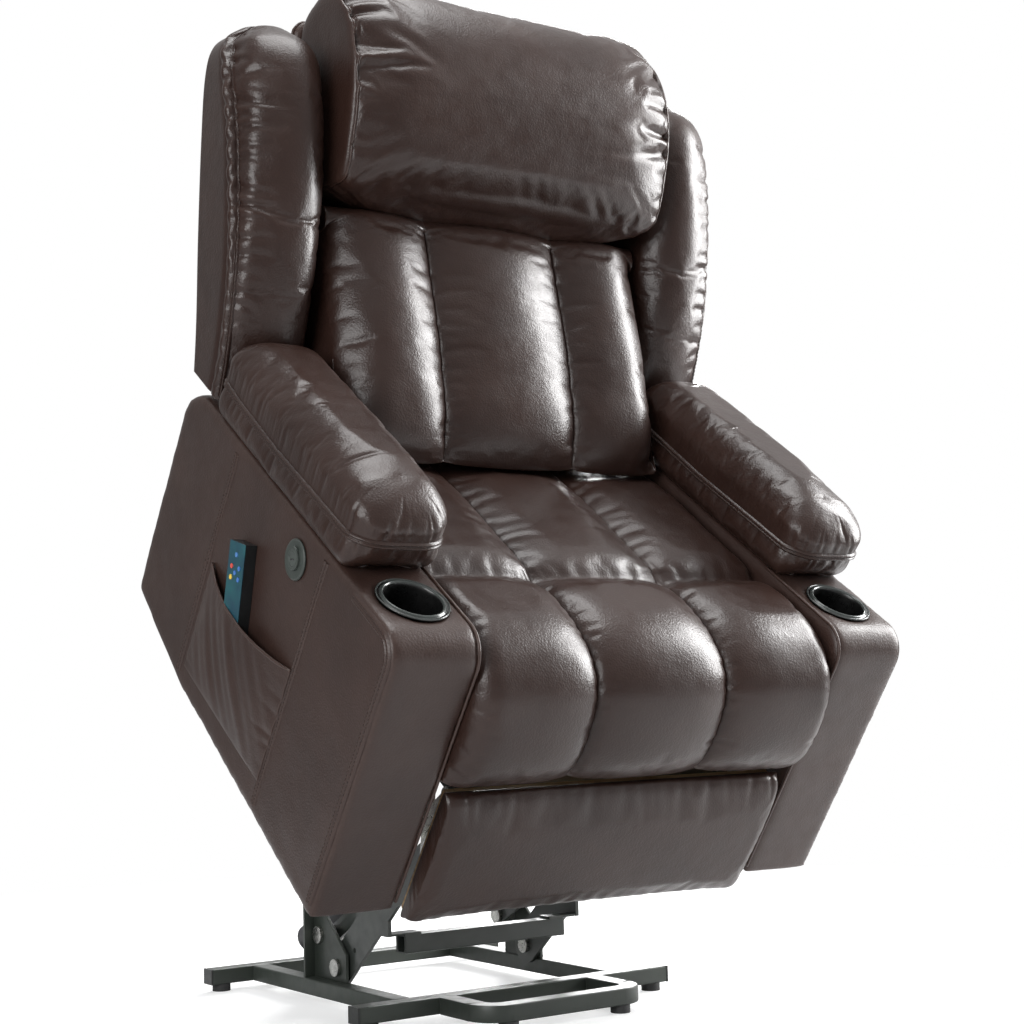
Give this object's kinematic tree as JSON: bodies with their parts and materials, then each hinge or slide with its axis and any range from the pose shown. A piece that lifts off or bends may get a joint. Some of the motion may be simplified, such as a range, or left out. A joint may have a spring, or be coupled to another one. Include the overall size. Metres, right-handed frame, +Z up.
{
  "type": "power lift recliner armchair",
  "caption": "Padded power lift recliner armchair, raised and tipped forward on a floor-standing lift frame, with a reclining back, folding footrest, cup holders and a handset in a side pocket.",
  "frame": {"origin": "On the floor under the middle of the chair's outline as it stands raised.", "axes": "+Z up, +Y to the chair's back and +X to the right of someone who faces the chair."},
  "size_m": [0.937, 0.9125, 1.5804],
  "materials": {
    "frame_paint": "satin dark green-grey paint",
    "linkage_paint": "satin dark paint",
    "cap_plastic": "moulded black",
    "foot_rubber": "matt black",
    "zinc": "bright zinc",
    "rod_steel": "turned",
    "timber": "plain sawn",
    "webbing": "woven strap",
    "motor_plastic": "moulded black",
    "leather_foam": "dark brown leather over foam, satin",
    "panel_leather": "dark brown leather over a light panel, satin",
    "cup_gunmetal": "gloss gunmetal",
    "port_plastic": "dark grey-green",
    "handset_plastic": "black",
    "key_grey": "soft grey",
    "key_blue": "soft blue",
    "key_yellow": "soft yellow",
    "key_red": "soft red"
  },
  "bodies": {
    "base": {"base_crossbars": "frame_paint", "base_side_rails": "frame_paint", "base_front_loop": "frame_paint", "tube_end_caps": "cap_plastic", "floor_feet": "foot_rubber", "pivot_bracket_left": "frame_paint", "pivot_bracket_right": "frame_paint", "lower_pivot_bolts": "zinc", "lift_motor_clevis": "frame_paint"},
    "lift_arms": {"lift_arm_left": "frame_paint", "lift_arm_right": "frame_paint", "lift_arm_crossbar": "frame_paint"},
    "rear_links": {"lift_rear_links": "frame_paint"},
    "carriage": {"carriage_rails": "frame_paint", "carriage_cross_tubes": "frame_paint", "carriage_lift_lugs": "frame_paint", "upper_pivot_bolts": "zinc", "recline_motor_clevis": "frame_paint", "lift_rod_clevis": "frame_paint", "seat_frame": "timber", "seat_webbing": "webbing", "power_control_box": "motor_plastic", "seat_cushion": "leather_foam", "seat_vibration_motors": "motor_plastic", "back_hinges": "linkage_paint", "arm_box_left": "panel_leather", "arm_box_right": "panel_leather", "arm_pad_left": "leather_foam", "arm_pad_right": "leather_foam", "cup_holders": "cup_gunmetal", "charging_port": "port_plastic", "side_pocket": "panel_leather"},
    "lift_motor": {"lift_motor": "motor_plastic"},
    "lift_rod": {"lift_motor_rod": "rod_steel"},
    "recline_motor": {"recline_motor": "motor_plastic"},
    "recline_rod": {"recline_motor_rod": "rod_steel"},
    "backrest": {"back_frame": "timber", "recline_crank": "linkage_paint", "back_shell": "panel_leather", "back_cushion": "leather_foam", "back_vibration_motors": "motor_plastic", "head_pillow": "leather_foam", "wing_left": "leather_foam", "wing_right": "leather_foam"},
    "footrest_rear_falling": {"footrest_rear_falling_bars": "linkage_paint"},
    "footrest_front_rising": {"footrest_front_rising_bars": "linkage_paint"},
    "footrest_rear_rising": {"footrest_rear_rising_bars": "linkage_paint"},
    "footrest_front_falling": {"footrest_front_falling_bars": "linkage_paint"},
    "footrest": {"footrest_board": "timber", "footrest_board_hinges": "linkage_paint", "footrest_pad": "leather_foam"},
    "port_flap": {"charging_port_flap": "port_plastic"},
    "handset": {"handset": "handset_plastic"},
    "key_lift_up": {"handset_key_lift_up": "key_grey"},
    "key_lift_down": {"handset_key_lift_down": "key_grey"},
    "key_back": {"handset_key_back": "key_blue"},
    "key_massage": {"handset_key_massage": "key_yellow"},
    "key_heat": {"handset_key_heat": "key_red"},
    "key_power": {"handset_key_power": "key_grey"}
  },
  "joints": [
    {"name": "lift", "type": "hinge", "parent": "lift_arms", "child": "carriage", "pos_m": [0, -0.18907, 0.26671], "axis": [-1, 0, 0], "range_deg": [0, 61.35]},
    {"name": "lift_arm_swing", "type": "hinge", "parent": "base", "child": "lift_arms", "pos_m": [0, 0.176, 0.058], "axis": [1, 0, 0], "range_deg": [0, 26.4]},
    {"name": "rear_link_swing", "type": "hinge", "parent": "base", "child": "rear_links", "pos_m": [0, 0.231, 0.10402], "axis": [1, 0, 0], "range_deg": [0, 31.31]},
    {"name": "lift_motor_tilt", "type": "hinge", "parent": "base", "child": "lift_motor", "pos_m": [-0.05, 0.441, 0.062], "axis": [1, 0, 0], "range_deg": [0, 18.32]},
    {"name": "lift_motor_stroke", "type": "slide", "parent": "lift_motor", "child": "lift_rod", "axis": [0, 0.8902, -0.4556], "range_m": [0, 0.06939]},
    {"name": "recline", "type": "hinge", "parent": "carriage", "child": "backrest", "pos_m": [0, 0.13076, 0.83858], "axis": [-1, 0, 0], "range_deg": [0, 40]},
    {"name": "recline_motor_tilt", "type": "hinge", "parent": "carriage", "child": "recline_motor", "pos_m": [0.1, 0.02512, 0.55708], "axis": [1, 0, 0], "range_deg": [0, 7.04]},
    {"name": "recline_motor_stroke", "type": "slide", "parent": "recline_motor", "child": "recline_rod", "axis": [0, -0.6348, -0.7727], "range_m": [0, 0.05952]},
    {"name": "footrest_extend", "type": "hinge", "parent": "carriage", "child": "footrest_rear_falling", "pos_m": [0, -0.15699, 0.42957], "axis": [-1, 0, 0], "range_deg": [0, 55]},
    {"name": "footrest_front_bar", "type": "hinge", "parent": "footrest_rear_falling", "child": "footrest_front_rising", "pos_m": [0, -0.12747, 0.26215], "axis": [1, 0, 0], "range_deg": [0, 82.05]},
    {"name": "footrest_rear_cross_bar", "type": "hinge", "parent": "footrest_rear_falling", "child": "footrest_rear_rising", "pos_m": [0, -0.14223, 0.34586], "axis": [1, 0, 0], "range_deg": [0, 82.05]},
    {"name": "footrest_front_cross_bar", "type": "hinge", "parent": "footrest_front_rising", "child": "footrest_front_falling", "pos_m": [0, -0.20108, 0.30465], "axis": [-1, 0, 0], "range_deg": [0, 82.05]},
    {"name": "footrest_board_turn", "type": "hinge", "parent": "footrest_front_rising", "child": "footrest", "pos_m": [0, -0.27469, 0.34715], "axis": [-1, 0, 0], "range_deg": [0, 117.05]},
    {"name": "port_flap_hinge", "type": "hinge", "parent": "carriage", "child": "port_flap", "pos_m": [-0.4561, -0.2142, 0.68615], "axis": [0, 0.8192, 0.5736], "range_deg": [0, 110]},
    {"name": "handset_lift_out", "type": "slide", "parent": "carriage", "child": "handset", "axis": [0, -0.2588, 0.9659], "range_m": [0, 0.1]},
    {"name": "press_lift_up", "type": "slide", "parent": "handset", "child": "key_lift_up", "axis": [1, 0, 0], "range_m": [0, 0.001], "stiffness_N_per_m": 400},
    {"name": "press_lift_down", "type": "slide", "parent": "handset", "child": "key_lift_down", "axis": [1, 0, 0], "range_m": [0, 0.001], "stiffness_N_per_m": 400},
    {"name": "press_back", "type": "slide", "parent": "handset", "child": "key_back", "axis": [1, 0, 0], "range_m": [0, 0.001], "stiffness_N_per_m": 400},
    {"name": "press_massage", "type": "slide", "parent": "handset", "child": "key_massage", "axis": [1, 0, 0], "range_m": [0, 0.001], "stiffness_N_per_m": 400},
    {"name": "press_heat", "type": "slide", "parent": "handset", "child": "key_heat", "axis": [1, 0, 0], "range_m": [0, 0.001], "stiffness_N_per_m": 400},
    {"name": "press_power", "type": "slide", "parent": "handset", "child": "key_power", "axis": [1, 0, 0], "range_m": [0, 0.001], "stiffness_N_per_m": 400}
  ],
  "couplings": [
    {"joint": "lift_arm_swing", "follows": "lift", "ratio": 0.42949},
    {"joint": "rear_link_swing", "follows": "lift", "ratio": 0.50959},
    {"joint": "lift_motor_tilt", "follows": "lift", "ratio": 0.29783},
    {"joint": "lift_motor_stroke", "follows": "lift", "m_per_rad": 0.064624},
    {"joint": "recline_motor_tilt", "follows": "recline", "ratio": 0.17469},
    {"joint": "recline_motor_stroke", "follows": "recline", "m_per_rad": 0.08497},
    {"joint": "footrest_front_bar", "follows": "footrest_extend", "ratio": 1.4909},
    {"joint": "footrest_rear_cross_bar", "follows": "footrest_extend", "ratio": 1.4909},
    {"joint": "footrest_front_cross_bar", "follows": "footrest_extend", "ratio": 1.4909},
    {"joint": "footrest_board_turn", "follows": "footrest_extend", "ratio": 2.1273}
  ]
}
